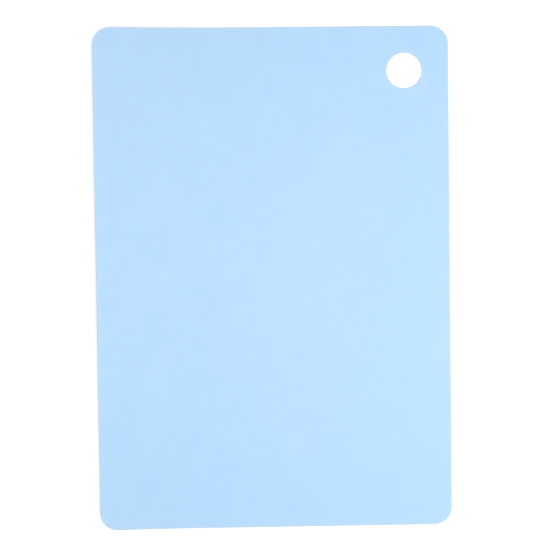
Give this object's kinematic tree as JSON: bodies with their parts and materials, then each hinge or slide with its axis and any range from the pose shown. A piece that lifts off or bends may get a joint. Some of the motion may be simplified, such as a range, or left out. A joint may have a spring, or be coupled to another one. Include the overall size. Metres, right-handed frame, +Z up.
{
  "type": "flexible cutting mat",
  "caption": "Thin flexible plastic cutting mat: a rounded rectangle with a round hanging hole near the back right corner and a slight curl along its left side.",
  "frame": {"origin": "on the table, under the middle of the sheet's outline", "axes": "+Y along the long side, towards the end with the hole; +X to the right, so the hole is at the back right; +Z up, away from the table"},
  "size_m": [0.24, 0.34, 0.0069],
  "materials": {
    "sheet_plastic": "pale blue polypropylene with a fine matt grain"
  },
  "bodies": {
    "root": {"mat_sheet": "sheet_plastic"}
  },
  "joints": []
}
